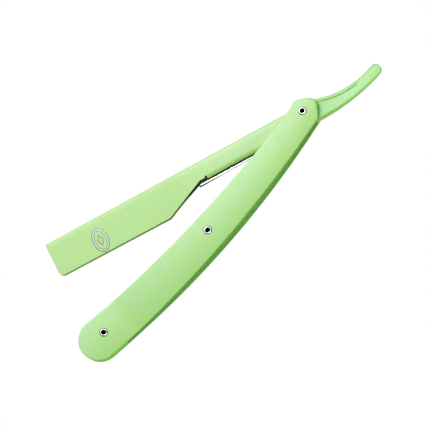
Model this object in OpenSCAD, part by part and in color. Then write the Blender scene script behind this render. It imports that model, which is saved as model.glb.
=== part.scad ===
// Folding straight razor whose arm takes half of a double-edge blade. No blade is in it.
// The origin is on the main pivot's axis, halfway through the handle's thickness.
// +X runs from the round end of the handle through the pivot to the tail, +Y is the side
// that the blade arm folds in from, and +Z points out of the front scale.

/* [Handle outline] */
// Distance from the main pivot to the end rivet
pivot_to_end = 120; // [118.5:0.5:124]
// Deepest point of the convex edge, along X
convex_x = -68.2; // [-72:0.1:-64]
// Deepest point of the convex edge, along Y
convex_y = -12.4; // [-13.5:0.1:-11.8]
// Radius of the convex edge
convex_r = 449; // [430:1:480]
// Lowest point of the concave edge, along X
concave_x = -49.1; // [-54:0.1:-46]
// Lowest point of the concave edge, along Y
concave_y = 2.1; // [1.5:0.1:2.6]
// Radius of the concave edge
concave_r = 465; // [450:1:500]
// Distance from the main pivot to the tip of the handle's round end
handle_l = 132; // [131.5:0.5:134]
// Radius of the corners of the handle's round end
end_r = 8.4; // [7.5:0.1:8.4]

/* [Handle thickness] */
// Where the bowed scales are farthest apart, along X
bow_x = -48; // [-56:1:-40]
// Half of the handle's thickness at its fattest
bow_z = 4.75; // [4.5:0.05:5.2]
// Radius of a scale's bowed outer face
bow_r = 890; // [820:10:1000]
// Half of the handle's thickness at its round end
end_z = 2.65; // [2.5:0.05:2.8]
// Half of the slot between the scales at its widest
slot_z = 2.35; // [2.3:0.05:2.6]
// Radius of a scale's bowed inner face
slot_r = 2890; // [2700:10:3600]

/* [Rivets] */
// Middle rivet, along X
middle_x = -61.2; // [-61.7:0.1:-60.7]
// Middle rivet, along Y
middle_y = -4.25; // [-4.6:0.05:-4.2]
// Radius of a rivet's shank
rivet_r = 1.2; // [1.1:0.05:1.4]
// Radius of the ring rolled on the front of a rivet
ring_r = 1.7; // [1.6:0.05:1.9]
// Radius of the hollow in a rivet
hollow_r = 1; // [0.7:0.05:1.05]
// Radius of the flush head on the rear of a rivet
head_r = 2.2; // [2:0.1:2.4]
// Radius of the spacer sleeve on the middle rivet
sleeve_r = 2.2; // [2:0.1:2.3]
// Radius of a washer on the main pivot
washer_r = 3.6; // [3:0.1:3.8]

/* [Blade arm] */
// Angle between the arm and the line of the handle's rivets
arm_angle = 20.1; // [8:0.1:150]
// Distance from the main pivot to the arm's tip
arm_l = 118.2; // [115:0.1:118.5]
// Height of the spine over the pivot
spine_y = 2.95; // [2.6:0.05:3]
// Half of the arm's thickness
arm_z = 1.4; // [1.3:0.05:1.45]
// Thickness of the folded sheet
sheet = 0.5; // [0.4:0.05:0.55]
// Lower edge of the wide part at its shoulder
wide_y = -12.5; // [-12.7:0.05:-12.2]
// Lower edge of the wide part at the tip
tip_y = -12.1; // [-12.3:0.05:-11.8]
// Lower edge of the shank
shank_y = -5.4; // [-5.6:0.1:-5.2]
// Thickness of the inner leaf
leaf_t = 0.8; // [0.7:0.05:0.85]
// Lower edge of the leaf where the shank starts, by the shoulder
leaf_y = -6.85; // [-7.2:0.05:-6.6]
// Lower edge of the leaf beside the pivot
leaf_head_y = -5.9; // [-6.3:0.1:-5.7]

/* [Blade seat] */
// Middle of the two pegs that hold a blade, along the arm
peg_x = -93.7; // [-96:0.1:-91]
// Distance between the two pegs
peg_gap = 28; // [24:0.5:32]
// Height of the pegs over the pivot
peg_y = -1.6; // [-2.2:0.1:-1.3]
// Radius of a peg's head
peg_r = 2; // [1.5:0.1:2.2]

/* [Hidden] */
$fn = 64;
plastic = [0.72, 0.88, 0.6];
steel = "silver";
run = 0.05;         // running clearance around a shaft
seat = 0.02;        // gap between faces that rest on each other
ring_depth = 0.15;  // how deep a front ring sits in the scale
ring_t = 0.45;      // thickness of a front ring
head_t = 0.4;       // thickness of a flush rear head
head_gap = 0.05;    // how far a rear head sits below the scale
web_t = 0.8;        // solid web at the bottom of a rivet's hollow
convex_c = [convex_x, convex_y + convex_r];
concave_c = [concave_x, concave_y + concave_r];
middle = [middle_x, middle_y];
arm_in = arm_z - sheet;
fold_y = spine_y - arm_z;
lip_in = leaf_t / 2 + 0.08;
big = 20;

// Centre of a circle that touches circle a from outside and circle b from inside. All such centres
// lie on an ellipse around a and b, and turn is the angle round it.
function between(a, ra, b, rb, turn) =
    let (long = (ra + rb) / 2, u = unit(b - a), short = sqrt(pow(long, 2) - pow(norm(b - a) / 2, 2)))
    (a + b) / 2 + long * cos(turn) * u + short * sin(turn) * [u[1], -u[0]];
// Points along an arc, by angle
function arc(c, r, a0, a1, n) = [for (i = [0:n]) c + r * dir(a0 + (a1 - a0) * i / n)];
// The point at x on the lower half of a circle, and a row of such points from x0 to x1
function arc_point(c, r, x) = [x, c[1] - sqrt(pow(r, 2) - pow(x - c[0], 2))];
function arc_x(c, r, x0, x1, n) = [for (i = [0:n]) arc_point(c, r, x0 + (x1 - x0) * i / n)];
function dir(a) = [cos(a), sin(a)];
function heading(v) = atan2(v[1], v[0]);
// A corner [x, y, r] becomes an arc of radius r, and a corner [x, y] stays a point
function corner(a, b, c, n) =
    let (p = [b[0], b[1]], u = unit([a[0], a[1]] - p), v = unit([c[0], c[1]] - p))
    let (half = acos(u * v) / 2, o = p + unit(u + v) * b[2] / sin(half))
    let (s = p + u * b[2] / tan(half) - o, e = p + v * b[2] / tan(half) - o)
    let (turn = heading(e) - heading(s))
    let (sweep = turn > 180 ? turn - 360 : turn < -180 ? turn + 360 : turn)
    arc(o, b[2], heading(s), heading(s) + sweep, n);
function unit(v) = v / norm(v);
function rounded(pts, n = 6) = [for (i = [0:len(pts) - 1])
    each len(pts[i]) == 2 ? [pts[i]]
        : corner(pts[(i + len(pts) - 1) % len(pts)], pts[i], pts[(i + 1) % len(pts)], n)];

// Half thickness of the handle, and of the slot in it, at a place along X
function outer_z(x) = max(end_z, bow_z - bow_r + sqrt(pow(bow_r, 2) - pow(x - bow_x, 2)));
function inner_z(x) = slot_z - slot_r + sqrt(pow(slot_r, 2) - pow(x - bow_x, 2));

// ---- Handle ----

// Plan of a scale: convex edge, round end, concave edge, then the head around the pivot
module handle_plan() {
    end_x = -handle_l;
    arc_end_x = end_x + end_r + 1;
    polygon(rounded(concat(
        arc_x(convex_c, convex_r, 0, arc_end_x, 24),
        [[each arc_point(convex_c, convex_r, end_x), end_r]],
        [[each arc_point(concave_c, concave_r, end_x), end_r]],
        arc_x(concave_c, concave_r, arc_end_x, -2, 24),
        [[0.6, 5.6, 2], [5.7, 2.1, 3], [7, -0.6, 1], [6.3, -2.7, 4], [1.8, -7, 0.4]]), 10));
}

// Side view of one scale: a bowed plate that flattens at the round end. Its outer face is laid out in
// facets long enough for the handle to rest on one without rocking.
module scale_profile() {
    flat_x = bow_x - sqrt(pow(bow_r, 2) - pow(bow_r - bow_z + end_z, 2));
    start_x = -big - pivot_to_end;
    polygon(concat(
        [[start_x, end_z]],
        [for (i = [0:8]) let (x = flat_x + (big / 2 - flat_x) * i / 8) [x, outer_z(x)]],
        [for (i = [24:-1:0]) let (x = start_x + (big / 2 - start_x) * i / 24) [x, inner_z(x)]]));
}

module scale_plate() {
    intersection() {
        linear_extrude(big, center = true) handle_plan();
        rotate([90, 0, 0]) linear_extrude(3 * big, center = true) scale_profile();
    }
}

module front_scale() {
    color(plastic) difference() {
        scale_plate();
        for (p = [[0, 0], middle, [-pivot_to_end, 0]]) {
            translate([p[0], p[1], 0]) cylinder(r = rivet_r + run, h = big);
            translate([p[0], p[1], outer_z(p[0]) - ring_depth]) cylinder(r = ring_r + run, h = big);
        }
    }
}

module rear_scale() {
    color(plastic) mirror([0, 0, 1]) difference() {
        scale_plate();
        for (p = [[0, 0], middle, [-pivot_to_end, 0]]) {
            translate([p[0], p[1], 0]) cylinder(r = rivet_r + run, h = big);
            translate([p[0], p[1], outer_z(p[0]) - head_t - head_gap]) cylinder(r = head_r + run, h = big);
        }
    }
}

// Wedge that closes the slot at the round end; its inner edge leans away from the arm's tip
module end_spacer() {
    inner_low = [-114.5, -big];
    inner_high = [-122.2, big];
    color(plastic) difference() {
        intersection() {
            linear_extrude(big, center = true) handle_plan();
            linear_extrude(big, center = true)
                polygon([[-2 * pivot_to_end, -big], inner_low, inner_high, [-2 * pivot_to_end, big]]);
            rotate([90, 0, 0]) linear_extrude(3 * big, center = true) spacer_profile();
        }
        translate([-pivot_to_end, 0, -big / 2]) cylinder(r = rivet_r + run, h = big);
    }
}

module spacer_profile() {
    xs = [-140, -130, -120, -110];
    polygon(concat([for (x = xs) [x, inner_z(x) - seat]], [for (i = [3:-1:0]) [xs[i], seat - inner_z(xs[i])]]));
}

// Hollow rivet: a ring rolled over on the front, a flush head at the rear, and a web under its hollow
module rivet(p) {
    top = outer_z(p[0]) - ring_depth;
    low = head_t + head_gap - outer_z(p[0]);
    color(steel) translate([p[0], p[1], 0]) difference() {
        union() {
            translate([0, 0, low - head_t]) cylinder(r = head_r, h = head_t - seat);
            translate([0, 0, low - head_t / 2]) cylinder(r = rivet_r, h = top - low + head_t);
            translate([0, 0, top + seat]) cylinder(r = ring_r, h = ring_t);
        }
        translate([0, 0, low + web_t]) cylinder(r = hollow_r, h = big);
    }
}

module pivot_rivet() {
    rivet([0, 0]);
}

module middle_rivet() {
    rivet(middle);
}

module end_rivet() {
    rivet([-pivot_to_end, 0]);
}

// Sleeve that holds the scales apart, and that the leaf's slanted edge rests on when folded
module middle_sleeve() {
    half_l = inner_z(middle_x - sleeve_r) - seat;
    color(steel) translate([middle_x, middle_y, -half_l]) tube(sleeve_r, 2 * half_l);
}

module tube(r, h) {
    difference() {
        cylinder(r = r, h = h);
        translate([0, 0, -1]) cylinder(r = rivet_r + run, h = h + 2);
    }
}

module front_pivot_washer() {
    color(steel) translate([0, 0, arm_z + seat]) tube(washer_r, inner_z(washer_r) - arm_z - 2 * seat);
}

module rear_pivot_washer() {
    mirror([0, 0, 1]) front_pivot_washer();
}

// ---- Blade arm: drawn with its tip towards -X and its spine towards +Y, then turned ----

shoulder_low = [-67.65, wide_y];  // where the shell's shoulder leaves the wide part
shoulder_high = [-49.95, -4.6];   // where it reaches the shank
notch_x = -47.5;                  // relief notch between the shoulder and the shank's curled lips
notch_w = 0.8;
notch_y = -4;
shank_end_x = -5;                 // the folded spine stops here, and two open ears go on
ear_r = 4.6;
leaf_head_r = 3.8;
leaf_top = spine_y - sheet - 0.35;
peg_shank_r = 1;
peg_xs = [peg_x - peg_gap / 2, peg_x + peg_gap / 2];

module in_arm() {
    rotate([0, 0, -arm_angle]) children();
}

// Bends a section drawn in Y and Z into a channel along X
module channel(x0, x1, section) {
    translate([x0, 0, 0]) rotate([90, 0, 90]) linear_extrude(x1 - x0) polygon(section);
}

// Folded sheet with parallel walls, open at the bottom
function wide_section(low) = concat(
    [[low, arm_z]], arc([fold_y, 0], arm_z, 90, -90, 12),
    [[low, -arm_z], [low, -arm_in]], arc([fold_y, 0], arm_in, -90, 90, 12), [[low, arm_in]]);
// The same sheet with its lower edges curled in towards the leaf
function shank_section() =
    let (bend = shank_y + 2, drop = arm_z - sheet - lip_in)
    concat(
        [[shank_y, arm_z - drop], [bend, arm_z]], arc([fold_y, 0], arm_z, 90, -90, 12),
        [[bend, -arm_z], [shank_y, drop - arm_z], [shank_y, -lip_in], [bend, -arm_in]],
        arc([fold_y, 0], arm_in, -90, 90, 12), [[bend, arm_in], [shank_y, lip_in]]);

// Lower outline of the arm's wide part, its shoulder and its plain edge up to the notch
module wide_plan() {
    polygon(rounded([[-arm_l, big], [-arm_l, tip_y, 1.9], [shoulder_low[0], shoulder_low[1], 2],
        [shoulder_high[0], shoulder_high[1]], [notch_x + notch_w, shoulder_high[1]], [notch_x + notch_w, big]]));
}

// ---- Tail: a shallow trough that the shell's rear wall runs on into ----

tail_x0 = 4;                    // under the handle's head
tail_top_c = [17.6, 39.7];      // centre of the concave upper edge
tail_top_r = 39;
tail_low_c = [4.5, 81.85];      // centre of the convex lower edge
tail_low_r = 88;
tail_tip_turn = 176.2;          // where the round tip touches both edges
rim_end_x = 24.6;               // the upper rim stops here, and the tip goes on as a flat paddle
tail_tip = between(tail_top_c, tail_top_r, tail_low_c, tail_low_r, tail_tip_turn);
tail_tip_r = norm(tail_tip - tail_top_c) - tail_top_r;

// Tail outline, drawn in from its edges by inset
module tail_plan(inset) {
    low = heading(tail_tip - tail_low_c);
    high = heading(tail_top_c - tail_tip);
    low_end = tail_tip + tail_tip_r * dir(low);
    high_end = tail_tip + tail_tip_r * dir(high);
    polygon(concat(
        arc_x(tail_low_c, tail_low_r - inset, tail_x0, low_end[0] - inset * cos(low), 16),
        arc(tail_tip, tail_tip_r - inset, low, high, 10),
        arc_x(tail_top_c, tail_top_r + inset, high_end[0] - inset * cos(high), tail_x0, 16)));
}

// Side view of the tail's walls: the lower one thins out towards the tip
module tail_wall_side() {
    polygon([[0, -arm_z], [0, arm_z], [8, arm_z], [34, 0.2 - arm_in], [40, -arm_in], [40, -arm_z]]);
}

module tail() {
    translate([0, 0, -arm_z]) linear_extrude(sheet) tail_plan(0);
    intersection() {
        translate([0, 0, -arm_z]) linear_extrude(2 * arm_z) difference() {
            tail_plan(0);
            tail_plan(sheet);
            translate([0, -big]) square([tail_x0 + 1, 2 * big]);
        }
        union() {
            rotate([90, 0, 0]) linear_extrude(2 * big, center = true) tail_wall_side();
            translate([0, tail_top_c[1] - tail_top_r - 1, -arm_z]) cube([rim_end_x, big, 2 * arm_z]);
        }
    }
}

module holder_shell() {
    color(plastic) in_arm() difference() {
        union() {
            intersection() {
                channel(-arm_l, notch_x + notch_w, wide_section(-big));
                linear_extrude(big, center = true) wide_plan();
            }
            channel(notch_x, shank_end_x, shank_section());
            for (z = [arm_in, -arm_z]) {
                translate([0, 0, z]) linear_extrude(sheet) ear_plan();
            }
            tail();
        }
        translate([notch_x, -big, -big / 2]) cube([notch_w, big + notch_y, big]);
        translate([0, 0, -big / 2]) cylinder(r = rivet_r + run, h = big);
    }
}

// Flat ears that run on from the shank's walls to around the pivot
module ear_plan() {
    circle(r = ear_r);
    polygon([[shank_end_x - 1, fold_y], [0, ear_r], [tail_x0 + 1, 2.5], [tail_x0 + 1, -6],
        [shank_end_x - 1, shank_y + 2]]);
}

// Steel leaf inside the shell: it carries the blade, and shows below the shank
module blade_leaf() {
    color(steel) in_arm() difference() {
        linear_extrude(leaf_t, center = true) union() {
            circle(r = leaf_head_r);
            polygon(rounded([
                [-arm_l + 1.1, leaf_top], [-arm_l + 1.1, tip_y + 0.5, 2],
                [shoulder_low[0] - 0.8, wide_y + 0.35], [shoulder_low[0] + 1, wide_y + 0.7, 0.5],
                [shoulder_high[0] - 1.35, leaf_y + 0.8], [shoulder_high[0] - 1.2, leaf_y, 0.3],
                [-9, leaf_head_y, 3],
                [0, -leaf_head_r + 0.3], [0, leaf_head_r - 1], [shank_end_x, leaf_top, 4]]));
        }
        translate([0, 0, -big / 2]) cylinder(r = rivet_r + run, h = big);
        for (x = peg_xs) {
            translate([x, peg_y, -big / 2]) cylinder(r = peg_shank_r + seat, h = big);
        }
    }
}

// Two pegs on the leaf, which the notches in a half blade's back fit around
module blade_pegs() {
    color(steel) in_arm() for (x = peg_xs) {
        translate([x, peg_y, leaf_t / 2 + seat]) cylinder(r = peg_r, h = arm_in - leaf_t / 2 - 0.1);
        translate([x, peg_y, -leaf_t / 2]) cylinder(r = peg_shank_r, h = leaf_t + 0.1);
    }
}

front_scale();
rear_scale();
end_spacer();
pivot_rivet();
middle_rivet();
end_rivet();
middle_sleeve();
front_pivot_washer();
rear_pivot_washer();
blade_leaf();
blade_pegs();
holder_shell();
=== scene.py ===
"""Looks of a folding straight razor with a pastel green handle and blade arm.

Lengths are in millimetres, in the CAD frame, until a mesh is made. Arm-local means the arm laid along X with
its tip towards -X and its spine towards +Y, before it is turned by ARM_ANGLE about the main pivot.
"""
from math import acos, atan2, ceil, cos, hypot, pi, radians, sin, sqrt, tan

import bmesh
import bpy
import numpy as np
from mathutils import Matrix, Vector
from mathutils.geometry import delaunay_2d_cdt


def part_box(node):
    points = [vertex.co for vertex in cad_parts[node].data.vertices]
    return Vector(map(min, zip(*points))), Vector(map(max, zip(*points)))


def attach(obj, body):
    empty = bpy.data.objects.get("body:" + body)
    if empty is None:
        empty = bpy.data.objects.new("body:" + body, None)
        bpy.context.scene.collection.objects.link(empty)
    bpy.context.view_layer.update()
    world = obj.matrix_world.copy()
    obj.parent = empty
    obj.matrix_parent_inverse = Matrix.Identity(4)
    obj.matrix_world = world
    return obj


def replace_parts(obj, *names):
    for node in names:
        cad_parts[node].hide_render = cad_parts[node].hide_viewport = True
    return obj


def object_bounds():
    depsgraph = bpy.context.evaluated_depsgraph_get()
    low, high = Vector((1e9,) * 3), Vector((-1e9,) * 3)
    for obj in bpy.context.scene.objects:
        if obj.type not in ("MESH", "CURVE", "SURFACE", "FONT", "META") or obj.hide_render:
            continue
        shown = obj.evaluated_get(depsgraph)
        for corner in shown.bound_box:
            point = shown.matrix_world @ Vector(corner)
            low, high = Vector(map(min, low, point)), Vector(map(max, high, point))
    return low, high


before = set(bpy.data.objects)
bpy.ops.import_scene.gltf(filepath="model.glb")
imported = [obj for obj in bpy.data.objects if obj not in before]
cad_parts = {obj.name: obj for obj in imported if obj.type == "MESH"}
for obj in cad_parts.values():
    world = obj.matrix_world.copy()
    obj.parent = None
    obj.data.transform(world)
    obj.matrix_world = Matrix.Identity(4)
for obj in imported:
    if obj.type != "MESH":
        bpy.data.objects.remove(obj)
cad_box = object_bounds()
MM = 0.001


def centre(node):
    """Middle of a CAD node's box, in millimetres."""
    low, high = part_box(node)
    return (np.array(low) + np.array(high)) / 2 / MM


# ---- The object's dimensions ----

PIVOT = centre("pivot_rivet")[:2]
MIDDLE = centre("middle_rivet")[:2]
END = centre("end_rivet")[:2]
RUN, SEAT = 0.05, 0.02                          # gaps between pieces that turn, and between pieces that rest

# Handle, seen from the front
CONVEX_C, CONVEX_R = (-68.2, 436.6), 449.0      # its lower edge
CONCAVE_C, CONCAVE_R = (-49.1, 467.1), 465.0    # and its upper edge
HANDLE_L = 132.0                                # from the pivot to its round end
END_R = 8.4
HEAD = [(0.6, 5.6, 2), (5.7, 2.1, 3), (7, -0.6, 1), (6.3, -2.7, 4), (1.8, -7, 0.4)]    # (x, y, radius)

# Handle's thickness: its two outer faces and its slot are bowed about the same place
BOW_X, BOW_Z, BOW_R = -48.0, 4.75, 890.0
END_Z = 2.65
SLOT_Z, SLOT_R = 2.35, 2890.0
CROWN = 0.28                                    # how much lower a scale's face is at its edges
CROWN_REACH = 1.2                               # half widths from the middle at which it stops falling
EDGE_R, INNER_EDGE_R = 0.28, 0.12               # rounding of a scale's outer and inner edges
EDGE_SHARE = 0.75                               # the most of a scale's thickness that the first one takes
SOFT_R, SOFT_X, SOFT_L = 0.6, 3.0, 3.0          # more of it on the head: how much, from where and over what
SPACER_LOW, SPACER_HIGH = (-114.5, -20), (-122.2, 20)    # the spacer's slanted inner edge runs through these

# Rivets
RIVET_R, RING_R, HOLLOW_R, REAR_HEAD_R = 1.2, 1.55, 1.0, 2.2
RING_T, REAR_HEAD_T, WEB_T = 0.45, 0.4, 0.8
RING_SINK, HEAD_SINK = 0.15, 0.45               # how deep they sit in the scales
FLARE_R, FLARE_L = 1.1, 0.4                     # the hollow opens out a little at its mouth
FLARE_DROP, RING_DROP = 0.05, 0.02              # how far its rim, and the ring's, are below the top
HOLLOW_ROUND, RING_ROUND, HEAD_ROUND, BREAK = 0.2, 0.3, 0.12, 0.05    # rounding of its edges
RING_GAP = 0.19                                 # groove around the ring
RECESS_SLOPE = 0.03                             # width of the wall of the recess around a rivet

# Arm, with its tip towards -X
ARM_ANGLE = radians(20.1)
ARM_L, SPINE_Y, ARM_Z, SHEET = 118.2, 2.95, 1.4, 0.5
FOLD_Y = SPINE_Y - ARM_Z                        # where the walls start
TIP_Y, WIDE_Y, SHANK_Y = -12.1, -12.5, -5.4     # lower edge at the tip, at the shoulder and along the shank
SHOULDER_LOW, SHOULDER_HIGH = (-67.65, WIDE_Y), (-49.95, -4.6)
NOTCH_X0, NOTCH_X1, NOTCH_Y = -47.5, -46.7, -3.9
SHANK_END = -5.0
CURL_R, CURL_TURN = 3.6, radians(31)            # the shank's lips roll in towards the leaf
CURL_Y = SHANK_Y + CURL_R * sin(CURL_TURN)
SHEET_EDGE_R, SHEET_INNER_R, LIP_EDGE_R = 0.14, 0.1, 0.36    # rounding of the sheet's edges, and of the lips
EAR_R, EAR_OVERLAP = 4.6, 0.6                   # ears around the pivot, and how far they go into the sheet

# Tail: its upper and lower edges, and its round tip between them
TAIL_X0 = 3.0
TAIL_TOP_C, TAIL_TOP_R = (17.6, 39.7), 39.0
TAIL_LOW_C, TAIL_LOW_R = (4.5, 81.85), 88.0
TAIL_TIP_TURN = radians(176.2)

# Leaf and pegs
LEAF_T, LEAF_X0, LEAF_X1 = 0.8, 1.1 - ARM_L, -9.0    # thickness, tip, and where the lower edge meets the head
LEAF_Y, LEAF_HEAD_Y = -6.85, -5.9               # lower edge at the notch and beside the pivot
LEAF_HEAD_R = 3.8
LEAF_TOP = SPINE_Y - SHEET - 0.35
PEG_R, PEG_SHANK_R = 2.0, 1.0

# The leaf is painted near-black as the shade and dark reflections inside the shell, but for a strip ground
# bright between
# GROUND_Y and a painted dark line of shade along the lower edge. The line is DARK_W wide where the strip
# starts, and thins to DARK_THIN of that on its way to DARK_X.
GROUND_Y, GROUND_X0, GROUND_X1, GROUND_SLANT = -6.0, -50.55, -6.0, 0.6
DARK_W, DARK_X, DARK_THIN = 0.6, -36.0, 0.3

# Spacing of the meshes' points
COARSE, EDGE_STEP, FOLD_STEP = 2.2, 0.7, 0.25


# ---- Plane curves ----

def arc(c, r, a0, a1, n):
    """n + 1 points along an arc, angles in radians."""
    turns = [a0 + (a1 - a0) * i / n for i in range(n + 1)]
    return [(c[0] + r * cos(t), c[1] + r * sin(t)) for t in turns]


def low_y(c, r, x):
    """Height at x of the lower half of a circle."""
    return c[1] - sqrt(r * r - (x - c[0]) ** 2)


def low_arc(c, r, x0, x1, n):
    """A row of points along the lower half of a circle, evenly spaced in X."""
    xs = np.linspace(x0, x1, n + 1)
    return [(x, low_y(c, r, x)) for x in xs]


def rounded(points, n=8):
    """Closed loop in which each corner (x, y, r) becomes an arc of radius r."""
    out = []
    for i, b in enumerate(points):
        if len(b) == 2:
            out.append(b)
            continue
        a, c = points[i - 1], points[(i + 1) % len(points)]
        p = np.array(b[:2], float)
        u = np.array(a[:2], float) - p
        v = np.array(c[:2], float) - p
        u, v = u / hypot(*u), v / hypot(*v)
        half = acos(np.clip(u @ v, -1, 1)) / 2
        mid = (u + v) / hypot(*(u + v))
        o = p + mid * b[2] / sin(half)
        s, e = p + u * b[2] / tan(half) - o, p + v * b[2] / tan(half) - o
        a0 = atan2(s[1], s[0])
        sweep = (atan2(e[1], e[0]) - a0 + pi) % (2 * pi) - pi
        out += arc(o, b[2], a0, a0 + sweep, n)
    return np.array(out, float)


def circle(c, r, n=48):
    """Closed loop of n points around a circle."""
    return np.array(arc(c, r, 0, 2 * pi * (n - 1) / n, n - 1))


def finer(loop, step):
    """Splits a closed loop's long segments; step is a length or a function of a point."""
    size = step if callable(step) else lambda p: step
    out = []
    for a, b in zip(loop, np.roll(loop, -1, 0)):
        n = max(1, ceil(hypot(*(b - a)) / size((a + b) / 2)))
        out += [a + (b - a) * i / n for i in range(n)]
    return np.array(out)


def left_of(loop, a, b):
    """The part of a closed loop to the left of the line from a to b."""
    side = [(b[0] - a[0]) * (p[1] - a[1]) - (b[1] - a[1]) * (p[0] - a[0]) for p in loop]
    out = []
    for i, p in enumerate(loop):
        j = (i + 1) % len(loop)
        if side[i] >= 0:
            out.append(p)
        if side[i] * side[j] < 0:
            out.append(p + (loop[j] - p) * side[i] / (side[i] - side[j]))
    return np.array(out)


def inside(loop, pts):
    """Which points lie inside a closed loop."""
    x, y = pts[:, :1], pts[:, 1:2]
    a, b = loop, np.roll(loop, -1, 0)
    spans = (a[:, 1] > y) != (b[:, 1] > y)
    rise = np.where(b[:, 1] == a[:, 1], 1, b[:, 1] - a[:, 1])
    at = a[:, 0] + (y - a[:, 1]) * (b[:, 0] - a[:, 0]) / rise
    return (spans & (x < at)).sum(1) % 2 == 1


def depth(loop, pts):
    """Distance from each point to a closed loop."""
    a = loop
    ab = np.roll(loop, -1, 0) - a
    t = ((pts[:, None] - a) * ab).sum(2) / np.maximum((ab ** 2).sum(1), 1e-12)
    near = a + np.clip(t, 0, 1)[..., None] * ab
    return np.sqrt(((near - pts[:, None]) ** 2).sum(2)).min(1)


def inset(loop, d, sharpest=0.3, least=0.97):
    """Each point of a counter-clockwise loop moved in by d, and whether it then clears the whole loop.

    sharpest limits how far a point at a sharp corner moves, and least is the share of d that is far enough.
    """
    edge = np.roll(loop, -1, 0) - loop
    n = np.stack([-edge[:, 1], edge[:, 0]], 1) / np.hypot(edge[:, 0], edge[:, 1])[:, None]
    m = np.roll(n, 1, 0) + n
    m = m / np.maximum(1 + (np.roll(n, 1, 0) * n).sum(1), sharpest)[:, None]
    pts = loop + d * m
    keep = inside(loop, pts) & (depth(loop, pts) > least * d)
    return pts, keep


def reached(co, tris, outer, holes, loops):
    """Triangles joined to the largest one inside, without crossing a loop, which leaves no slivers out."""
    fence = {frozenset(e) for loop in loops for e in zip(loop, loop[1:] + loop[:1])}
    sides = [[frozenset((t[i], t[i - 1])) for i in range(3)] for t in tris]
    beside = {}
    for k, edges in enumerate(sides):
        for e in edges:
            beside.setdefault(e, []).append(k)
    corner, mid = co[tris], co[tris].mean(1)
    ab, ac = corner[:, 1] - corner[:, 0], corner[:, 2] - corner[:, 0]
    area = abs(ab[:, 0] * ac[:, 1] - ab[:, 1] * ac[:, 0]) * inside(outer, mid)
    for h in holes:
        area = area * ~inside(h, mid)
    queue = [int(area.argmax())]
    found = set(queue)
    while queue:
        for e in sides[queue.pop()]:
            new = [k for k in beside[e] if k not in found and e not in fence]
            found.update(new)
            queue += new
    return sorted(found)


# How far a grid's points stay from an edge, a hole and a row of other points, as shares of their spacing
CLEAR_OF_EDGE, CLEAR_OF_HOLE, CLEAR_OF_ROW = 0.4, 0.25, 0.45
GRID_ROW = 0.87         # height of a row in a grid of even triangles, as a share of their side
ROW_MARGIN = 0.08       # gap in mm between the last inset and the ends of a row
SAME_POINT = 1e-7


def region(outer, holes=(), insets=(), circles=(), rows=(), step=COARSE):
    """Triangulates the area inside outer and outside holes.

    insets are distances from the edge that get their own row of points, circles are further closed lines,
    rows are open lines, and step is the spacing of the points in between.
    Returns the points, the triangles, the loops as rows of indices, and each point's distance from the edge.
    """
    pts, edges = [], []

    def add(line, closed=True):
        k = len(pts)
        pts.extend(map(tuple, line))
        n = len(line)
        edges.extend((k + i, k + (i + 1) % n) for i in range(n if closed else n - 1))
        return list(range(k, k + n))

    loops = [add(outer)] + [add(h) for h in holes]
    for d in insets:
        line, keep = inset(outer, d)
        ids = {}
        for i in np.flatnonzero(keep):
            ids[i] = len(pts)
            pts.append(tuple(line[i]))
        edges.extend((ids[i], ids[(i + 1) % len(line)]) for i in ids if (i + 1) % len(line) in ids)
    margin = max(insets, default=0)
    for c in circles:
        add(c)
    keep_out = list(holes) + list(circles)
    for row in rows:
        row = np.array(row)
        ok = inside(outer, row) & (depth(outer, row) > margin + ROW_MARGIN)
        run = []
        for p, good in zip(list(row) + [None], list(ok) + [False]):
            if good:
                run.append(p)
            elif run:
                add(run, closed=False)
                run = []
    low, high = outer.min(0), outer.max(0)
    xs = np.arange(low[0] + step / 2, high[0], step)
    ys = np.arange(low[1] + step / 2, high[1], step * GRID_ROW)
    grid = np.array([(x + (j % 2) * step / 2, y) for j, y in enumerate(ys) for x in xs])
    grid = grid[inside(outer, grid)]
    grid = grid[depth(outer, grid) > margin + CLEAR_OF_EDGE * step]
    for line in keep_out:
        grid = grid[~inside(line, grid) & (depth(line, grid) > CLEAR_OF_HOLE * step)]
    if rows:
        dense = np.array([p for row in rows for p in row])
        gap = np.array([np.hypot(*(dense - g).T).min() for g in grid]) if len(grid) else np.zeros(0)
        grid = grid[gap > CLEAR_OF_ROW * step]
    pts.extend(map(tuple, grid))
    co, _, faces, source, _, _ = delaunay_2d_cdt([Vector(p) for p in pts], edges, [], 0, SAME_POINT, True)
    where = {i: k for k, ids in enumerate(source) for i in ids}
    co = np.array([tuple(c) for c in co])
    tris = np.array([f for f in faces if len(f) == 3])
    loops = [[where[i] for i in loop] for loop in loops]
    tris = tris[reached(co, tris, outer, holes, loops)]
    used = np.unique(tris)
    new = np.full(len(co), -1)
    new[used] = np.arange(len(used))
    loops = [[new[i] for i in loop] for loop in loops]
    return co[used], new[tris], loops, depth(outer, co[used])


def fillet(d, r):
    """Drop of a quarter-round edge of radius r at distance d from the edge."""
    r = np.maximum(r, 1e-6)
    k = np.clip(1 - d / r, 0, 1)
    return r * (1 - np.sqrt(1 - k * k))


# ---- Meshes ----

SHARP, ROUND_SHARP = 40, 50     # edges that turn more degrees stay sharp, on plates and on round pieces


def smooth(mesh, sharp):
    """Outward normals, shaded smooth but for edges sharper than this many degrees."""
    bm = bmesh.new()
    bm.from_mesh(mesh)
    bmesh.ops.recalc_face_normals(bm, faces=bm.faces)
    bm.to_mesh(mesh)
    bm.free()
    mesh.shade_smooth()
    mesh.set_sharp_from_angle(angle=radians(sharp))


def make(name, verts, faces, body, slot, material, sharp=SHARP):
    """An object from points in millimetres, riding on a CAD body."""
    mesh = bpy.data.meshes.new(name)
    points = [tuple(np.array(v, float) * MM) for v in verts]
    mesh.from_pydata(points, [], [tuple(int(i) for i in f) for f in faces])
    smooth(mesh, sharp)
    obj = bpy.data.objects.new(name, mesh)
    bpy.context.scene.collection.objects.link(obj)
    mesh.materials.append(material)
    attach(obj, body)
    return obj


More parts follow.
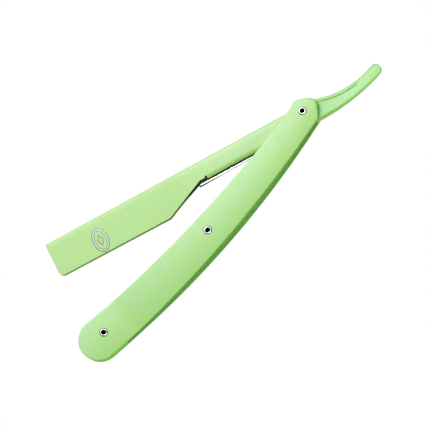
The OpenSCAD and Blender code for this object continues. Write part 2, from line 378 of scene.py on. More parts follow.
def second_finish(obj, material, chosen):
    """Gives the faces whose middle (in millimetres, in the frame) is chosen another material."""
    obj.data.materials.append(material)
    for face in obj.data.polygons:
        if chosen(face.center / MM):
            face.material_index = len(obj.data.materials) - 1


def sheet_mesh(part, top, bottom):
    """Closed solid between two surfaces over a region; top and bottom give 3-D points."""
    co, tris, loops, d = part
    n = len(co)
    verts = list(top(co[:, 0], co[:, 1], d)) + list(bottom(co[:, 0], co[:, 1], d))
    faces = [tuple(t) for t in tris] + [tuple(n + t[::-1]) for t in tris]
    for loop in loops:
        faces += [(a, b, n + b, n + a) for a, b in zip(loop, loop[1:] + loop[:1])]
    return verts, faces


def lathe(profile, at, n=64):
    """Turns a profile of (radius, height) about a vertical axis; it starts and ends on the axis."""
    verts, rings = [], []
    for r, z in profile:
        if r < 1e-6:
            rings.append([len(verts)] * n)
            verts.append((at[0], at[1], z))
        else:
            rings.append(list(range(len(verts), len(verts) + n)))
            verts += [(at[0] + r * cos(2 * pi * i / n), at[1] + r * sin(2 * pi * i / n), z) for i in range(n)]
    faces = []
    for a, b in zip(rings, rings[1:]):
        for i in range(n):
            j = (i + 1) % n
            face = list(dict.fromkeys((a[i], a[j], b[j], b[i])))
            if len(face) > 2:
                faces.append(face)
    return verts, faces


def join(*parts):
    """Several (points, faces) pairs as one."""
    verts, faces = [], []
    for v, f in parts:
        k = len(verts)
        verts += list(v)
        faces += [tuple(k + i for i in face) for face in f]
    return verts, faces


def in_arm(verts):
    """Arm-local points turned to the arm's place at rest."""
    v = np.array(verts, float)
    c, s = cos(-ARM_ANGLE), sin(-ARM_ANGLE)
    return np.stack([v[:, 0] * c - v[:, 1] * s, v[:, 0] * s + v[:, 1] * c, v[:, 2]], 1)


# ---- Materials ----

def tree_of(name):
    material = bpy.data.materials.new(name)
    material.use_nodes = True
    material.node_tree.nodes.clear()
    return material, material.node_tree


def put(tree, kind, settings=None, **inputs):
    """Adds a node. Inputs are values or nodes' sockets, by name with _ for a space or by number as i0."""
    node = tree.nodes.new(kind)
    for key, value in (settings or {}).items():
        setattr(node, key, value)
    for key, value in inputs.items():
        numbered = key[0] == "i" and key[1:].isdigit()
        socket = node.inputs[int(key[1:]) if numbered else key.replace("_", " ")]
        if isinstance(value, bpy.types.NodeSocket):
            tree.links.new(value, socket)
        else:
            socket.default_value = value
    return node


def spread(tree, value, low, high, out_low, out_high):
    """Maps low to high onto out_low to out_high, and stops at both ends."""
    return put(tree, "ShaderNodeMapRange", None, Value=value, From_Min=low, From_Max=high,
               To_Min=out_low, To_Max=out_high).outputs[0]


def blend_colour(tree, share, a, b):
    """Colour a where share is 0 and b where it is 1."""
    node = put(tree, "ShaderNodeMix", {"data_type": "RGBA"}, i0=share)
    for socket, value in ((node.inputs[6], a), (node.inputs[7], b)):
        if isinstance(value, bpy.types.NodeSocket):
            tree.links.new(value, socket)
        else:
            socket.default_value = (*value, 1)
    return node.outputs[2]


def noise(tree, where, size, detail):
    """Noise with features of about this size in millimetres."""
    node = put(tree, "ShaderNodeTexNoise", None, Vector=where, Scale=1 / (size * MM), Detail=detail)
    return node.outputs[0]


def finish(tree, **inputs):
    """Principled surface, as the material's output."""
    shader = put(tree, "ShaderNodeBsdfPrincipled", None, **inputs)
    put(tree, "ShaderNodeOutputMaterial", None, Surface=shader.outputs[0])


NOISE_RANGE, CLOUD_RANGE = (0.3, 0.7), (0.35, 0.65)    # nearly all of a noise's values lie in the first
CLOUD, ROUGH_PATCH = 14, 2.5                    # sizes of the uneven patches in colour and in roughness
WARM, COOL = (1.03, 0.995, 0.95), (0.97, 1.0, 1.04)
SPECK_SHARE, SPECK_LIFT = 0.05, 1.25            # the grain's specks are a little lighter
LEAN = 0.07                                     # painted light: a face's tint follows its lean between -Y, away from the key light, and +Y, towards it
# Tints for painted shade on faces that lean to -Y, and for a painted sheen on faces that lean to +Y
SHADED_SIDE_TINT, LIT_SIDE_TINT = (0.95, 0.99, 0.8), (1.04, 1.0, 1.18)
PAINTED_SHADE_FROM, PAINTED_SHADE_TO = -0.15, -0.6                # the painted shade colour sets in on faces that lean this far to -Y, away from the key light
PAINTED_SHADE_GLOSS = 0.3                                # share of the gloss that is left on the painted shade
SOLID_X0, SOLID_X1 = SPACER_LOW[0] - 2, SPACER_LOW[0] + 1
END_SHADE_LIFT = 1.4                                # the painted shade is lighter where the spacer fills the slot, at the round end
SHINE_X, SHINE_BLEND = -52.0, 8                 # along the arm: where the shine sets in, and over what length


def green_coat(name, base, painted_shade, grain, roughness, bump, gloss, shine=0.0):
    """Matt pastel finish: clouding and fine grain in colour and relief, with painted light by facing: a paler
    tint towards +Y, where the key light falls, and a darker, duller painted shade colour towards -Y.

    gloss is the specular level. shine is added to it on the arm from SHINE_X to the pivot, where fingers rub.
    """
    material, tree = tree_of(name)
    where = put(tree, "ShaderNodeTexCoord").outputs["Object"]
    cloud = spread(tree, noise(tree, where, CLOUD, 3), *CLOUD_RANGE, 0, 1)
    warm = tuple(c * k for c, k in zip(base, WARM))
    cool = tuple(c * k for c, k in zip(base, COOL))
    colour = blend_colour(tree, cloud, warm, cool)
    grains = noise(tree, where, grain, 3)
    speck = spread(tree, grains, *NOISE_RANGE, 0, SPECK_SHARE)
    colour = blend_colour(tree, speck, colour, tuple(min(1, SPECK_LIFT * c) for c in base))

    # Painted light: faces that lean to +Y, towards the key light, get a paler tint as of sheen, and faces
    # that lean to -Y get a darker, more saturated one as of shade.
    normal = put(tree, "ShaderNodeTexCoord").outputs["Normal"]
    towards_y = put(tree, "ShaderNodeSeparateXYZ", None, Vector=normal).outputs["Y"]
    lean = spread(tree, towards_y, -LEAN, LEAN, 0, 1)
    tint = blend_colour(tree, lean, SHADED_SIDE_TINT, LIT_SIDE_TINT)
    colour = put(tree, "ShaderNodeVectorMath", {"operation": "MULTIPLY"}, i0=colour, i1=tint).outputs[0]

    # Painted shade: faces that lean to -Y, away from the key light, take the darker shade colour and lose
    # most of their gloss.
    below = spread(tree, towards_y, PAINTED_SHADE_FROM, PAINTED_SHADE_TO, 0, 1)
    at_end = put(tree, "ShaderNodeSeparateXYZ", None, Vector=where).outputs["X"]
    at_end = spread(tree, at_end, SOLID_X0 * MM, SOLID_X1 * MM, 1, 0)
    painted_shade_colour = blend_colour(tree, at_end, painted_shade, tuple(END_SHADE_LIFT * c for c in painted_shade))
    colour = blend_colour(tree, below, colour, painted_shade_colour)

    patch = noise(tree, where, ROUGH_PATCH, 2)
    rough = spread(tree, patch, *NOISE_RANGE, roughness - 0.03, roughness + 0.04)
    relief = put(tree, "ShaderNodeBump", None, Height=grains, Strength=bump, Distance=grain * MM)
    along = put(tree, "ShaderNodeMapping", None, Vector=where, Rotation=(0, 0, ARM_ANGLE)).outputs[0]
    along = put(tree, "ShaderNodeSeparateXYZ", None, Vector=along).outputs["X"]
    from_x, to_x = (SHINE_X - SHINE_BLEND) * MM, (SHINE_X + SHINE_BLEND) * MM
    level = spread(tree, along, from_x, to_x, gloss, gloss + shine)
    dull = spread(tree, below, 0, 1, 1, PAINTED_SHADE_GLOSS)
    level = put(tree, "ShaderNodeMath", {"operation": "MULTIPLY"}, i0=level, i1=dull).outputs[0]
    finish(tree, Base_Color=colour, Roughness=rough, Normal=relief.outputs[0], Specular_IOR_Level=level)
    return material


LINE, POLISH_PATCH, SMUDGE = 0.12, 3, 0.04      # sizes of a metal's lines and patches, and how uneven it is
FLECK = 0.1                                     # size of the paint's sparkles


def metal(name, tint, roughness, along):
    """Bare metal with fine lines and uneven polish. along stretches the lines in X, Y and Z."""
    material, tree = tree_of(name)
    where = put(tree, "ShaderNodeTexCoord").outputs["Object"]
    turned = put(tree, "ShaderNodeMapping", None, Vector=where, Rotation=(0, 0, ARM_ANGLE), Scale=along)
    lines = noise(tree, turned.outputs[0], LINE, 4)
    patch = noise(tree, where, POLISH_PATCH, 2)
    shade = spread(tree, lines, *NOISE_RANGE, 0.93, 1.0)
    colour = put(tree, "ShaderNodeVectorMath", {"operation": "SCALE"}, i0=tint, Scale=shade).outputs[0]
    rough = spread(tree, patch, *NOISE_RANGE, roughness - SMUDGE / 2, roughness + SMUDGE)
    relief = put(tree, "ShaderNodeBump", None, Height=lines, Strength=0.12, Distance=0.01 * MM)
    finish(tree, Base_Color=colour, Roughness=rough, Metallic=1.0, Normal=relief.outputs[0])
    return material


def inlay_paint(name, tint):
    """Silver-grey paint with a fine sparkle."""
    material, tree = tree_of(name)
    where = put(tree, "ShaderNodeTexCoord").outputs["Object"]
    fleck = spread(tree, noise(tree, where, FLECK, 2), *NOISE_RANGE, 0.8, 1.2)
    colour = put(tree, "ShaderNodeVectorMath", {"operation": "SCALE"}, i0=tint, Scale=fleck).outputs[0]
    finish(tree, Base_Color=colour, Roughness=0.4, Metallic=0.3)
    return material


# Each green's second colour is its painted shade colour, for faces that lean to -Y, away from the key light.
plastic = green_coat("scale_plastic", (0.40, 0.73, 0.235), (0.155, 0.46, 0.045),
                     grain=0.22, roughness=0.36, bump=0.1, gloss=0.75)
coating = green_coat("shell_coating", (0.435, 0.73, 0.255), (0.42, 0.72, 0.13),
                     grain=0.12, roughness=0.38, bump=0.02, gloss=0.5, shine=0.4)
# Painted light: the tail is the shell's own coated sheet, but gets a lighter copy of its coating with less
# gloss, the lighter colour standing in for light on the tail.
tail_coating_painted_lighter = green_coat("tail_coating_painted_lighter", (0.475, 0.86, 0.34), (0.36, 0.70, 0.17),
                          grain=0.3, roughness=0.5, bump=0.01, gloss=0.3)
# Painted bounce light: a lighter, more saturated copy of the scales' green for the faces inside the slot, as
# of green light thrown back and forth between the scales.
slot_painted_bounce = green_coat("slot_painted_bounce", (0.41, 0.82, 0.205), (0.2, 0.55, 0.06),
                        grain=0.22, roughness=0.5, bump=0.1, gloss=0.3)
# Painted shadow: dark green for the recesses around the rivets, as the shadow in the groove around each ring.
groove = green_coat("groove_shade", (0.10, 0.15, 0.09), (0.08, 0.14, 0.06),
                    grain=0.2, roughness=0.6, bump=0.1, gloss=0.1)
EVEN, ALONG_ARM = (1, 1, 1), (0.04, 1, 1)
plated = metal("rivet_steel", (0.84, 0.88, 0.90), roughness=0.22, along=EVEN)
# Painted shade: near-black for the inside of the rivets' hollows.
hollow_painted_shade = metal("hollow_shade", (0.012, 0.012, 0.014), roughness=0.5, along=EVEN)
polished = metal("leaf_steel", (0.9, 0.91, 0.92), roughness=0.16, along=ALONG_ARM)
# Painted shade: near-black steel for the leaf, as the shadows and dark reflections between the shell's walls.
leaf_painted_shade = metal("leaf_painted_shade_steel", (0.025, 0.028, 0.022), roughness=0.4, along=ALONG_ARM)
inlay = inlay_paint("inlay_silver", (0.20, 0.22, 0.20))
inlay_pale = inlay_paint("inlay_pale", (0.52, 0.62, 0.50))


# ---- Handle ----

def outer_z(x):
    """Height of the handle's outer face along its middle."""
    x = np.asarray(x, float)
    return np.maximum(END_Z, BOW_Z - BOW_R + np.sqrt(BOW_R ** 2 - (x - BOW_X) ** 2))


def inner_z(x):
    """Half the width of the slot between the scales."""
    x = np.asarray(x, float)
    return SLOT_Z - SLOT_R + np.sqrt(SLOT_R ** 2 - (x - BOW_X) ** 2)


def across(x, y):
    """Place across the handle: -1 at its lower edge, 1 at its upper edge."""
    upper = CONCAVE_C[1] - np.sqrt(CONCAVE_R ** 2 - (x - CONCAVE_C[0]) ** 2)
    lower = CONVEX_C[1] - np.sqrt(CONVEX_R ** 2 - (x - CONVEX_C[0]) ** 2)
    return (2 * y - upper - lower) / (upper - lower)


arc_end = -HANDLE_L + END_R + 1
handle_plan = finer(rounded(
    low_arc(CONVEX_C, CONVEX_R, arc_end, 0, 90)
    + HEAD[::-1]
    + low_arc(CONCAVE_C, CONCAVE_R, -2, arc_end, 90)
    + [(-HANDLE_L, low_y(CONCAVE_C, CONCAVE_R, -HANDLE_L), END_R),
       (-HANDLE_L, low_y(CONVEX_C, CONVEX_R, -HANDLE_L), END_R)], 16), EDGE_STEP)
SCALE_INSETS = (0.02, 0.07, 0.16, 0.3, 0.5, 0.78, 1.15, 1.7)
RIVETS_AT = (PIVOT, MIDDLE, END)


def scale(name, side, recess_r, sink):
    """One scale, crowned and rounded, with a recess around each rivet. side is 1 in front, -1 behind."""
    holes = [circle(p, RIVET_R + RUN) for p in RIVETS_AT]
    recesses = [circle(p, r) for p in RIVETS_AT for r in (recess_r, recess_r + RECESS_SLOPE)]
    part = region(handle_plan, holes, SCALE_INSETS, recesses)

    def top(x, y, d):
        crown = CROWN * np.clip(across(x, y), -CROWN_REACH, CROWN_REACH) ** 2
        room = outer_z(x) - inner_z(x) - crown
        soft = EDGE_R + SOFT_R * np.clip((x - SOFT_X) / SOFT_L, 0, 1)
        z = outer_z(x) - crown - fillet(d, np.minimum(soft, EDGE_SHARE * room))
        for p in RIVETS_AT:
            r = np.hypot(x - p[0], y - p[1])
            z = np.where(r < recess_r + RECESS_SLOPE / 2, outer_z(p[0]) - sink, z)
        return np.stack([x, y, side * z], 1)

    def bottom(x, y, d):
        return np.stack([x, y, side * (inner_z(x) + fillet(d, INNER_EDGE_R))], 1)

    def in_slot(c):
        return side * c[2] < inner_z(c[0]) + 0.01

    def in_recess(c):
        return min(hypot(c[0] - p[0], c[1] - p[1]) for p in RIVETS_AT) < recess_r

    obj = make(name, *sheet_mesh(part, top, bottom), "handle", "scale_plastic", plastic)
    # The faces inside the slot get the painted bounce light.
    second_finish(obj, slot_painted_bounce, in_slot)
    # The recess around each rivet is painted dark as shadow.
    second_finish(obj, groove, in_recess)
    return obj


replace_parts(scale("front_scale_body", 1, RING_R + RING_GAP, RING_SINK), "front_scale")
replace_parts(scale("rear_scale_body", -1, REAR_HEAD_R + RUN, HEAD_SINK), "rear_scale")

spacer_plan = finer(left_of(handle_plan, SPACER_LOW, SPACER_HIGH), EDGE_STEP)
spacer_part = region(spacer_plan, [circle(END, RIVET_R + RUN)], (0.05,))
spacer = make("end_spacer_body", *sheet_mesh(
    spacer_part,
    lambda x, y, d: np.stack([x, y, inner_z(x) - SEAT], 1),
    lambda x, y, d: np.stack([x, y, SEAT - inner_z(x)], 1)), "handle", "scale_plastic", plastic)
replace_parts(spacer, "end_spacer")


# ---- Rivets, washers and sleeve ----

def rivet(node):
    """Hollow rivet: a ring rolled over on the front, a flush head at the rear, and a web under its hollow."""
    low, high = (np.array(c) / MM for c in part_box(node))
    at = centre(node)[:2]
    top, foot = high[2], low[2]
    head = foot + REAR_HEAD_T
    web = head + WEB_T
    ring = top - RING_T
    outline = rounded([
        (0, web), (HOLLOW_R, web, HOLLOW_ROUND), (HOLLOW_R, top - FLARE_L, BREAK),
        (FLARE_R, top - FLARE_DROP, BREAK), (RING_R, top - RING_DROP, RING_ROUND), (RING_R, ring, BREAK),
        (RIVET_R, ring, BREAK), (RIVET_R, head), (REAR_HEAD_R, head, BREAK),
        (REAR_HEAD_R, foot, HEAD_ROUND), (0, foot)], 6)

    def in_hollow(c):
        return hypot(c[0] - at[0], c[1] - at[1]) < FLARE_R and web - 0.1 < c[2] < top - 0.08

    obj = make(node + "_body", *lathe(outline, at), "handle", "rivet_steel", plated, ROUND_SHARP)
    # The hollow's walls, floor and flared mouth are painted near-black as shade.
    second_finish(obj, hollow_painted_shade, in_hollow)
    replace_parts(obj, node)


for node in ("pivot_rivet", "middle_rivet", "end_rivet"):
    rivet(node)
for node in ("middle_sleeve", "front_pivot_washer", "rear_pivot_washer"):
    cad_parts[node].data.materials.clear()
    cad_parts[node].data.materials.append(plated)


# ---- Shell: one sheet, laid out flat as (x, s) and then folded about its spine ----

QUARTER = pi / 2 * ARM_Z                        # from the spine's crest to where the wall starts
LIP_S = QUARTER + FOLD_Y - CURL_Y + CURL_R * CURL_TURN


def down(y):
    """Distance along the sheet from the spine's crest to height y on a wall."""
    return QUARTER + FOLD_Y - y


def folded(x, s, h):
    """Places a point of the flat sheet, at depth h under its outer face."""
    side = np.where(s < 0, -1.0, 1.0)
    s = abs(s)
    turn = np.minimum(s, QUARTER) / ARM_Z
    y = FOLD_Y + (ARM_Z - h) * np.cos(turn)
    z = (ARM_Z - h) * np.sin(turn)
    wall = np.maximum(s - QUARTER, 0)
    curl = np.where(x > (NOTCH_X0 + NOTCH_X1) / 2, np.maximum(wall - (FOLD_Y - CURL_Y), 0), 0)
    y = y - (wall - curl)
    bend = curl / CURL_R
    y = y - (CURL_R - h) * np.sin(bend)
    z = z - (CURL_R - h) * (1 - np.cos(bend))
    return in_arm(np.stack([x, y, side * z], 1))


def edge_r(x, s):
    """Rounding of the sheet's outer edge: larger along the lips."""
    return np.where((x > NOTCH_X1 + 0.5) & (abs(s) > LIP_S - 1), LIP_EDGE_R, SHEET_EDGE_R)


# Corners of one wall's lower edge, as (x, s, radius), from the notch to the tip
wall = [(NOTCH_X1, LIP_S, 0.5), (NOTCH_X1, down(NOTCH_Y), 0.3), (NOTCH_X0, down(NOTCH_Y), 0.3),
        (NOTCH_X0, down(SHOULDER_HIGH[1]), 0.3), (SHOULDER_HIGH[0], down(SHOULDER_HIGH[1]), 0.3),
        (SHOULDER_LOW[0], down(SHOULDER_LOW[1]), 2.0), (-ARM_L, down(TIP_Y), 1.9)]
other_wall = [(x, -s, r) for x, s, r in wall[::-1]]
shell_plan = rounded([(SHANK_END, -LIP_S), (SHANK_END, LIP_S)] + wall + other_wall, 10)
shell_plan = finer(shell_plan, lambda p: FOLD_STEP if abs(p[1]) < QUARTER + 0.3 else 0.8)
# Rows of points along the spine's bend and along the lips' curls
fold_rows = [[(x, s) for x in np.arange(-ARM_L + 0.4, SHANK_END - 0.2, COARSE)]
             for s in np.linspace(-QUARTER, QUARTER, 17)]
curl_rows = [[(x, side * s) for x in np.arange(NOTCH_X1 + 0.3, SHANK_END - 0.2, 1.6)]
             for s in np.linspace(QUARTER + FOLD_Y - CURL_Y, LIP_S - 0.4, 7) for side in (-1, 1)]
SHELL_INSETS = (0.02, 0.07, 0.15, 0.26, 0.38)
shell_part = region(shell_plan, (), SHELL_INSETS, rows=fold_rows + curl_rows)
shell = make("shell_body", *sheet_mesh(
    shell_part,
    lambda x, s, d: folded(x, s, fillet(d, edge_r(x, s))),
    lambda x, s, d: folded(x, s, SHEET - fillet(d, SHEET_INNER_R))), "shell", "shell_coating", coating)
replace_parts(shell, "holder_shell")

PLATE_INSETS = (0.02, 0.06, 0.12)


def plate(plan, z0, z1, holes, edge, step, rows=()):
    """Flat arm-local plate with rounded edges."""
    part = region(plan, holes, PLATE_INSETS, rows=rows, step=step)
    return sheet_mesh(
        part,
        lambda x, y, d: in_arm(np.stack([x, y, z1 - fillet(d, edge)], 1)),
        lambda x, y, d: in_arm(np.stack([x, y, z0 + fillet(d, edge)], 1)))


ear_x = SHANK_END - EAR_OVERLAP
ear_plan = finer(rounded(
    [(ear_x, SHANK_Y + 2), (EAR_R, -5.6, 0.8), (5, 2.5, 0.8)]
    + arc((0, 0), EAR_R, radians(50), radians(140), 16) + [(ear_x, FOLD_Y)], 8), EDGE_STEP)
EAR_Z0, EAR_Z1 = ARM_Z - SHEET + SEAT, ARM_Z - SEAT
for name, z0, z1 in (("front", EAR_Z0, EAR_Z1), ("rear", -EAR_Z1, -EAR_Z0)):
    ear = plate(ear_plan, z0, z1, [circle((0, 0), RIVET_R + RUN)], edge=SHEET_INNER_R, step=1.5)
    make("shell_ear_" + name, *ear, "shell", "shell_coating", coating)


# ---- Tail: the shell's rear wall runs on as a curved trough with a raised rim and a rolled lower edge ----

def between(a, ra, b, rb, turn):
    """Centre of a circle that touches circle a from outside and b from inside.

    Such centres lie on an ellipse, and turn is the angle round it.
    """
    a, b = np.array(a), np.array(b)
    gap = hypot(*(b - a))
    u = (b - a) / gap
    long = (ra + rb) / 2
    short = sqrt(long ** 2 - (gap / 2) ** 2)
    return (a + b) / 2 + long * cos(turn) * u + short * sin(turn) * np.array([u[1], -u[0]])


def heading(v):
    return atan2(v[1], v[0])


def start_turn(c, r):
    """Where the tail starts on one of its circles, as an angle."""
    return heading(np.array([TAIL_X0, low_y(c, r, TAIL_X0)]) - c)


tip = between(TAIL_TOP_C, TAIL_TOP_R, TAIL_LOW_C, TAIL_LOW_R, TAIL_TIP_TURN)
tip_r = hypot(*(tip - np.array(TAIL_TOP_C))) - TAIL_TOP_R
low_turn = heading(tip - np.array(TAIL_LOW_C))
high_turn = heading(np.array(TAIL_TOP_C) - tip)
STATIONS, TIP_STATIONS = 70, 16
lower = arc(TAIL_LOW_C, TAIL_LOW_R, start_turn(TAIL_LOW_C, TAIL_LOW_R), low_turn, STATIONS)
upper = arc(TAIL_TOP_C, TAIL_TOP_R, start_turn(TAIL_TOP_C, TAIL_TOP_R), high_turn - pi, STATIONS)
far_turn = (low_turn + high_turn) / 2
TIP_GAP = 0.03          # half the angle left between the two edges at the tip
lower += arc(tip, tip_r, low_turn, far_turn - TIP_GAP, TIP_STATIONS)[1:]
upper += arc(tip, tip_r, high_turn, far_turn + TIP_GAP, TIP_STATIONS)[1:]

# Across the trough, for a tail FULL_W wide: the rolled lower edge, its slope to the floor, and the upper rim
FULL_W, ROLL_W, SLOPE_W, RIM_W = 4.0, 1.2, 1.6, 1.0
# Heights over the floor: at the head, how much of that is lost by LOW_X, and how much over the root
ROLL_H, ROLL_FALL, ROLL_ROOT = 1.25, 0.95, 0.8
RIM_H, RIM_FALL, RIM_ROOT = 0.7, 0.3, 0.15
LOW_X = 33.0
RIM_END_X, RIM_FADE = 24.6, 0.35                # where the rim ends, and over what length
ROOT_LIFT, ROOT_L = 2.0, 15.0                   # the floor rises towards the head
HOLLOW_H = 0.35                                 # and is hollow across
FOOT_H, RIM_EDGE = 0.15, 0.16                   # upright foot of both edges, and rounding of the rim


def tail_section(x, w):
    """Closed profile of (across, z) at x, for a tail that is w wide there; across is 0 at the lower edge."""
    small = min(1, w / FULL_W)
    along = np.clip((x - TAIL_X0) / (LOW_X - TAIL_X0), 0, 1)
    near = np.clip(1 - (x - TAIL_X0) / ROOT_L, 0, 1)
    root = near ** 2 * (3 - 2 * near)
    base = -ARM_Z
    foot = base + FOOT_H
    floor_z = base + SHEET + ROOT_LIFT * root
    hollow = HOLLOW_H * small
    crest = floor_z + (ROLL_H - ROLL_FALL * along - ROLL_ROOT * root) * small
    fade = np.clip((RIM_END_X + RIM_FADE - x) / RIM_FADE, 0, 1)
    rim = floor_z + (RIM_H - RIM_FALL * along - RIM_ROOT * root) * fade * small
    rise = rim - floor_z
    roll, slope = ROLL_W * small, SLOPE_W * small
    start, stop = roll + slope, w - RIM_W * small - 0.1 * small
    floor_w = stop - 0.12 * small - start
    valley = floor_z + hollow
    side = min(rim - base, SHEET * 0.4)
    return (
        # The rolled lower edge, its slope, and the hollow floor
        [(roll * (1 - cos(t)), foot + (crest - foot) * sin(t)) for t in np.linspace(0, pi / 2, 10)]
        + [(roll + slope * k, valley + (crest - valley) * (0.5 + 0.5 * cos(pi * k)))
           for k in np.linspace(0.12, 0.95, 9)]
        + [(start + floor_w * k, floor_z + hollow * (1 - k) ** 2) for k in np.linspace(0, 1, 12)]
        # The rim's inner side, its top and its rounded outer edge
        + [(stop - 0.05 * small, floor_z + 0.15 * rise), (stop, floor_z + 0.8 * rise)]
        + [(stop + 0.08 * small, rim - 0.02), (stop + 0.2 * small, rim)]
        + [(w - RIM_EDGE * sin(t) * small, rim - side * (1 - cos(t))) for t in np.linspace(pi / 2, 0, 5)]
        # The flat back, rounded at both ends
        + [(w, foot), (w - 0.05 * small, base + 0.04), (w - 0.15 * small, base)]
        + [(0.15 * small, base), (0.05 * small, base + 0.04)])


def loft(sections):
    """Closed solid through a row of closed sections with equal numbers of points."""
    m = len(sections[0])
    verts = [p for s in sections for p in s]
    faces = [tuple(range(m))[::-1], tuple(range(len(verts) - m, len(verts)))]
    for k in range(len(sections) - 1):
        for i in range(m):
            j = (i + 1) % m
            faces.append((k * m + i, k * m + j, (k + 1) * m + j, (k + 1) * m + i))
    return verts, faces


sections = []
for a, b in zip(lower, upper):
    a, b = np.array(a), np.array(b)
    w = hypot(*(b - a))
    u = (b - a) / w
    profile = tail_section((a[0] + b[0]) / 2, w)
    sections.append(in_arm([(a[0] + u[0] * v, a[1] + u[1] * v, z) for v, z in profile]))
# The tail's coating is painted lighter than the shell's.
make("shell_tail", *loft(sections), "shell", "shell_coating", tail_coating_painted_lighter, ROUND_SHARP)


# ---- Leaf and pegs ----

# Corners as (x, y, radius): the tip, the shoulder, which comes out a little from under the shell's near the
# notch, the strip's edge, and the head
leaf_plan = finer(rounded([
    (LEAF_X0, LEAF_TOP, 0.5), (LEAF_X0, TIP_Y + 0.5, 2), (SHOULDER_LOW[0] - 0.8, WIDE_Y + 0.35, 0.5),
    (SHOULDER_LOW[0] + 1, WIDE_Y + 0.7, 0.5), (SHOULDER_HIGH[0] - 1.35, LEAF_Y + 0.8),
    (SHOULDER_HIGH[0] - 1.2, LEAF_Y, 0.3), (LEAF_X1, LEAF_HEAD_Y, 3),
    (0, 0.3 - LEAF_HEAD_R, 1), (3.4, 0, 2.5), (0, LEAF_HEAD_R - 1, 1), (SHANK_END, LEAF_TOP, 4)], 8), 0.6)
peg_low, peg_high = (np.array(c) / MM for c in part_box("blade_pegs"))
peg_mid = (peg_low + peg_high)[:2] / 2
peg_half = (peg_high - peg_low)[:2] / 2 - PEG_R
peg_at = [peg_mid + peg_half * (-1, 1), peg_mid + peg_half * (1, -1)]


def out_of_arm(p):
    """A point in the frame, as arm-local."""
    c, s = cos(ARM_ANGLE), sin(ARM_ANGLE)
    return p[0] * c - p[1] * s, p[0] * s + p[1] * c


def dark_edge(x):
    """Top of the painted dark line, as shade, along the leaf's lower edge."""
    edge = LEAF_Y + (LEAF_HEAD_Y - LEAF_Y) * (x - GROUND_X0) / (LEAF_X1 - GROUND_X0)
    return edge + DARK_W * np.clip((DARK_X - x) / (DARK_X - GROUND_X0), DARK_THIN, 1)


leaf_holes = [circle((0, 0), RIVET_R + RUN)] + [circle(out_of_arm(p), PEG_SHANK_R + SEAT) for p in peg_at]
# Rows of points along the strip's upper and lower limits and its slanted end
ground_rows = [[(x, GROUND_Y) for x in np.arange(GROUND_X0, LEAF_X1 + 2, 0.8)],
               [(x, dark_edge(x)) for x in np.arange(GROUND_X0 - 0.6, LEAF_X1 + 2, 0.4)],
               [(GROUND_X0 - k * 0.25, GROUND_Y - k * 0.4) for k in range(3)]]
leaf_mesh = plate(leaf_plan, -LEAF_T / 2, LEAF_T / 2, leaf_holes, edge=0.08, step=COARSE, rows=ground_rows)
# The leaf is painted near-black as shade, but for its ground strip.
leaf = make("blade_leaf_body", *leaf_mesh, "leaf", "leaf_steel", leaf_painted_shade)


def ground(p):
    """Whether a point is on the strip ground below the shank, or on the wide part's bare lower edge."""
    x, y = out_of_arm(p)
    on_face = abs(p[2]) > LEAF_T / 2 - 0.04
    strip = dark_edge(x) < y < GROUND_Y and GROUND_X0 + (y - GROUND_Y) * GROUND_SLANT < x < GROUND_X1
    return (strip and on_face) or (x < SHOULDER_LOW[0] - 1 and y < WIDE_Y + 1)


second_finish(leaf, polished, ground)
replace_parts(leaf, "blade_leaf")


def peg(at):
    """A round button on the leaf, with its shank through it."""
    top, foot = peg_high[2], -LEAF_T / 2
    seat = LEAF_T / 2 + SEAT
    return lathe(rounded([(0, top), (PEG_R, top, 0.12), (PEG_R, seat), (PEG_SHANK_R, seat),
                          (PEG_SHANK_R, foot, 0.08), (0, foot)], 5), at, 48)


pegs = make("blade_pegs_body", *join(*map(peg, peg_at)), "leaf", "leaf_steel", polished, ROUND_SHARP)
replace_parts(pegs, "blade_pegs")


# ---- Emblem: a plain oval ring around a small diamond ----

EMBLEM = (-97.0, -6.6)
EMBLEM_Z, EMBLEM_FOOT, EMBLEM_R = ARM_Z + 0.03, ARM_Z - 0.1, 0.05
# Half sizes along X and Y: the two rings from outside to inside, and the diamond
OUTER, OUTER_IN, INNER, INNER_IN = (3.4, 5.3), (3.0, 4.9), (2.5, 4.4), (2.15, 4.05)
DIAMOND, DIAMOND_IN = (1.4, 2.7), (0.95, 1.85)


def oval(size, n=72):
    """Loop around the emblem's middle."""
    turns = [2 * pi * i / n for i in range(n)]
    return np.array([(EMBLEM[0] + size[0] * cos(a), EMBLEM[1] + size[1] * sin(a)) for a in turns])


def diamond(size):
    x, y = EMBLEM
    return finer(np.array([(x + size[0], y), (x, y + size[1]), (x - size[0], y), (x, y - size[1])]), 0.4)


def inlaid(outer, inner):
    """Band between two closed lines, set into the arm's face."""
    return sheet_mesh(
        region(outer, [inner], (0.03, 0.08), step=0.5),
        lambda x, y, d: in_arm(np.stack([x, y, EMBLEM_Z - fillet(d, EMBLEM_R)], 1)),
        lambda x, y, d: in_arm(np.stack([x, y, np.full_like(x, EMBLEM_FOOT)], 1)))


rings = inlaid(oval(OUTER), oval(OUTER_IN)), inlaid(oval(INNER), oval(INNER_IN))
make("emblem", *join(*rings, inlaid(diamond(DIAMOND), diamond(DIAMOND_IN))), "shell", "shell_coating", inlay)
make("emblem_filling", *inlaid(oval(OUTER_IN), oval(INNER)), "shell", "shell_coating", inlay_pale)


# ---- Floor, light and camera ----

def stage_light():
    """White to the camera; else a dim room, darker in reflections, as between two black flags."""
    world = bpy.data.worlds.new("studio")
    bpy.context.scene.world = world
    world.use_nodes = True
    tree = world.node_tree
    tree.nodes.clear()
    path = put(tree, "ShaderNodeLightPath")
    room = blend_colour(tree, path.outputs["Is Glossy Ray"], (0.18, 0.185, 0.18), (0.1, 0.1, 0.1))
    seen = blend_colour(tree, path.outputs["Is Camera Ray"], room, (1.0, 1.0, 1.0))
    back = put(tree, "ShaderNodeBackground", None, Color=seen, Strength=1.0)
    put(tree, "ShaderNodeOutputWorld", None, Surface=back.outputs[0])


FLOOR_GLOW = 0.2        # as of light coming up through a white table
FLOOR_SIZE = 3000 * MM
FLOOR_GAP = 0.2 * MM    # between the floor and the object's lowest point


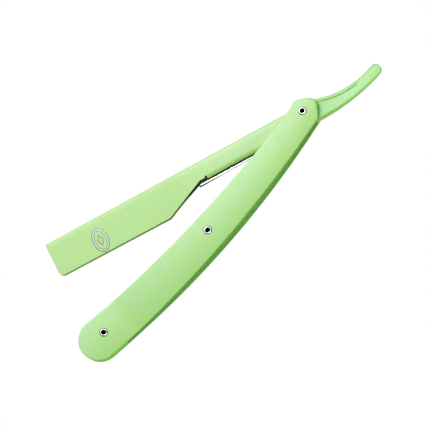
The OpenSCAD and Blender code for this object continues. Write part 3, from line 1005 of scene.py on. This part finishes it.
def floor(z):
    """Plain white floor, seen from above only."""
    mesh = bpy.data.meshes.new("floor")
    corners = [(x * FLOOR_SIZE, y * FLOOR_SIZE, z) for x, y in ((-1, -1), (1, -1), (1, 1), (-1, 1))]
    mesh.from_pydata(corners, [], [(0, 1, 2, 3)])
    obj = bpy.data.objects.new("floor", mesh)
    bpy.context.scene.collection.objects.link(obj)
    material, tree = tree_of("white_floor")
    path = put(tree, "ShaderNodeLightPath")
    below = put(tree, "ShaderNodeNewGeometry").outputs["Backfacing"]
    paper = put(tree, "ShaderNodeBsdfDiffuse", None, Color=(0.65, 0.65, 0.65, 1))
    glow = put(tree, "ShaderNodeEmission", None, Color=(1, 1, 1, 1), Strength=FLOOR_GLOW)
    paper = put(tree, "ShaderNodeAddShader", None, i0=paper.outputs[0], i1=glow.outputs[0])
    lit = put(tree, "ShaderNodeEmission", None, Color=(1, 1, 1, 1), Strength=1.0)
    clear = put(tree, "ShaderNodeBsdfTransparent")
    seen = put(tree, "ShaderNodeMixShader", None, i0=path.outputs["Is Camera Ray"], i1=paper.outputs[0],
               i2=lit.outputs[0])
    one_way = put(tree, "ShaderNodeMixShader", None, i0=below, i1=seen.outputs[0], i2=clear.outputs[0])
    put(tree, "ShaderNodeOutputMaterial", None, Surface=one_way.outputs[0])
    mesh.materials.append(material)


def softbox(name, at, aim, size, power):
    """Rectangular area light, placed and aimed in millimetres."""
    lamp = bpy.data.lights.new(name, "AREA")
    lamp.shape = "RECTANGLE"
    lamp.size, lamp.size_y = (v * MM for v in size)
    lamp.energy = power
    obj = bpy.data.objects.new(name, lamp)
    bpy.context.scene.collection.objects.link(obj)
    at, aim = Vector(at) * MM, Vector(aim) * MM
    obj.location = at
    obj.rotation_mode = "QUATERNION"
    obj.rotation_quaternion = (aim - at).to_track_quat("-Z", "Y")


stage_light()
floor(cad_box[0][2] - FLOOR_GAP)
middle_of_it = (-50, 5, 0)
softbox("key", (-60, 640, 560), middle_of_it, (500, 400), 3.7)
softbox("top", (50, 335, 740), middle_of_it, (460, 330), 2.9)
softbox("low", (-90, -700, 260), middle_of_it, (600, 300), 2.0)

TILT = radians(14.3)                            # how far the view leans from straight down, towards -Y
ROLL = radians(-48.03)                          # how far the camera is turned about its own axis
AIM = Vector((-54.7, -0.85, 3.6)) * MM
SPAN = 171.7                                    # width of the view at the object
LENS, SENSOR = 300, 36
to_camera = Vector((0, -sin(TILT), cos(TILT)))
right = Vector((cos(ROLL), sin(ROLL) * cos(TILT), sin(ROLL) * sin(TILT)))
up = to_camera.cross(right)
optics = bpy.data.cameras.new("camera")
optics.lens, optics.sensor_width = LENS, SENSOR
optics.clip_start, optics.clip_end = 0.05, 20
camera = bpy.data.objects.new("camera", optics)
bpy.context.scene.collection.objects.link(camera)
stand = Matrix.Translation(AIM + to_camera * SPAN * MM * LENS / SENSOR)
camera.matrix_world = stand @ Matrix((right, up, to_camera)).transposed().to_4x4()
bpy.context.scene.camera = camera
bpy.context.scene.view_settings.view_transform = "Standard"
